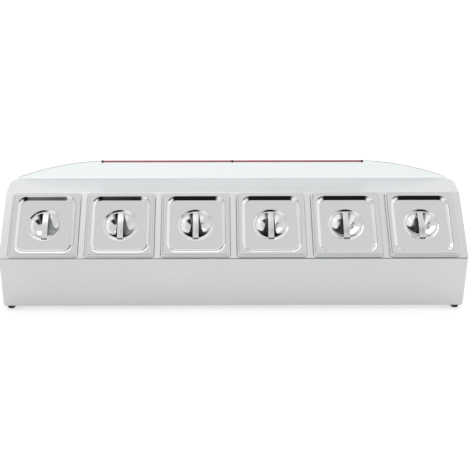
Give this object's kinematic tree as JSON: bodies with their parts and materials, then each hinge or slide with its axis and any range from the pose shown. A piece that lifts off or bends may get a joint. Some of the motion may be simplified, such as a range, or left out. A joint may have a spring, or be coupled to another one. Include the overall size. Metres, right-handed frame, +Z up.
{
  "type": "bar garnish tray",
  "caption": "Countertop bar garnish tray: folded steel casing with a sloped deck of lift-out lidded pans and a low clear guard behind its flat top",
  "frame": {"origin": "on the counter under the feet, at the middle of the footprint, which runs from the front face to the heads of the guard's screws", "axes": "+X along the casing to the right as the user faces it, +Y from the front panel to the back, +Z up"},
  "size_m": [1.085, 0.2482, 0.2786],
  "materials": {
    "casing_sheet": "satin stainless sheet, folded",
    "inner_sheet": "mill-finish stainless sheet",
    "drawn_pan": "bright drawn stainless steel",
    "drawn_lid": "polished drawn stainless steel",
    "strap_steel": "satin stainless strip",
    "foot_rubber": "matt black moulded rubber",
    "fastener_steel": "plain stainless fasteners",
    "clear_guard": "clear polished acrylic sheet",
    "edge_trim": "rose vinyl edge trim",
    "edge_clip": "black moulded plastic",
    "nylon_spacer": "natural nylon"
  },
  "bodies": {
    "casing": {"front_panel": "casing_sheet", "deck_plate": "casing_sheet", "rear_panel": "casing_sheet", "left_end_panel": "casing_sheet", "right_end_panel": "casing_sheet", "base_tray": "inner_sheet", "front_stiffener": "inner_sheet", "top_stiffener": "inner_sheet", "left_corner_strap": "inner_sheet", "right_corner_strap": "inner_sheet", "web_rib_1": "inner_sheet", "web_rib_2": "inner_sheet", "web_rib_3": "inner_sheet", "web_rib_4": "inner_sheet", "web_rib_5": "inner_sheet", "foot_front_left": "foot_rubber", "foot_front_right": "foot_rubber", "foot_rear_left": "foot_rubber", "foot_rear_right": "foot_rubber", "foot_screws": "fastener_steel", "foot_nuts": "fastener_steel", "panel_screws": "fastener_steel", "guard_panel": "clear_guard", "guard_trim_left": "edge_trim", "guard_trim_right": "edge_trim", "guard_clips": "edge_clip", "guard_spacers": "nylon_spacer", "guard_screws": "fastener_steel"},
    "pan_1": {"pan_1": "drawn_pan"},
    "pan_2": {"pan_2": "drawn_pan"},
    "pan_3": {"pan_3": "drawn_pan"},
    "pan_4": {"pan_4": "drawn_pan"},
    "pan_5": {"pan_5": "drawn_pan"},
    "pan_6": {"pan_6": "drawn_pan"},
    "lid_1": {"lid_1": "drawn_lid", "lid_handle_1": "strap_steel"},
    "lid_2": {"lid_2": "drawn_lid", "lid_handle_2": "strap_steel"},
    "lid_3": {"lid_3": "drawn_lid", "lid_handle_3": "strap_steel"},
    "lid_4": {"lid_4": "drawn_lid", "lid_handle_4": "strap_steel"},
    "lid_5": {"lid_5": "drawn_lid", "lid_handle_5": "strap_steel"},
    "lid_6": {"lid_6": "drawn_lid", "lid_handle_6": "strap_steel"}
  },
  "joints": [
    {"name": "pan_1_lift", "type": "slide", "parent": "casing", "child": "pan_1", "axis": [0, -0.5299, 0.848], "range_m": [0, 0.13]},
    {"name": "pan_2_lift", "type": "slide", "parent": "casing", "child": "pan_2", "axis": [0, -0.5299, 0.848], "range_m": [0, 0.13]},
    {"name": "pan_3_lift", "type": "slide", "parent": "casing", "child": "pan_3", "axis": [0, -0.5299, 0.848], "range_m": [0, 0.13]},
    {"name": "pan_4_lift", "type": "slide", "parent": "casing", "child": "pan_4", "axis": [0, -0.5299, 0.848], "range_m": [0, 0.13]},
    {"name": "pan_5_lift", "type": "slide", "parent": "casing", "child": "pan_5", "axis": [0, -0.5299, 0.848], "range_m": [0, 0.13]},
    {"name": "pan_6_lift", "type": "slide", "parent": "casing", "child": "pan_6", "axis": [0, -0.5299, 0.848], "range_m": [0, 0.13]},
    {"name": "lid_1_lift", "type": "slide", "parent": "pan_1", "child": "lid_1", "axis": [0, -0.5299, 0.848], "range_m": [0, 0.06]},
    {"name": "lid_2_lift", "type": "slide", "parent": "pan_2", "child": "lid_2", "axis": [0, -0.5299, 0.848], "range_m": [0, 0.06]},
    {"name": "lid_3_lift", "type": "slide", "parent": "pan_3", "child": "lid_3", "axis": [0, -0.5299, 0.848], "range_m": [0, 0.06]},
    {"name": "lid_4_lift", "type": "slide", "parent": "pan_4", "child": "lid_4", "axis": [0, -0.5299, 0.848], "range_m": [0, 0.06]},
    {"name": "lid_5_lift", "type": "slide", "parent": "pan_5", "child": "lid_5", "axis": [0, -0.5299, 0.848], "range_m": [0, 0.06]},
    {"name": "lid_6_lift", "type": "slide", "parent": "pan_6", "child": "lid_6", "axis": [0, -0.5299, 0.848], "range_m": [0, 0.06]}
  ]
}
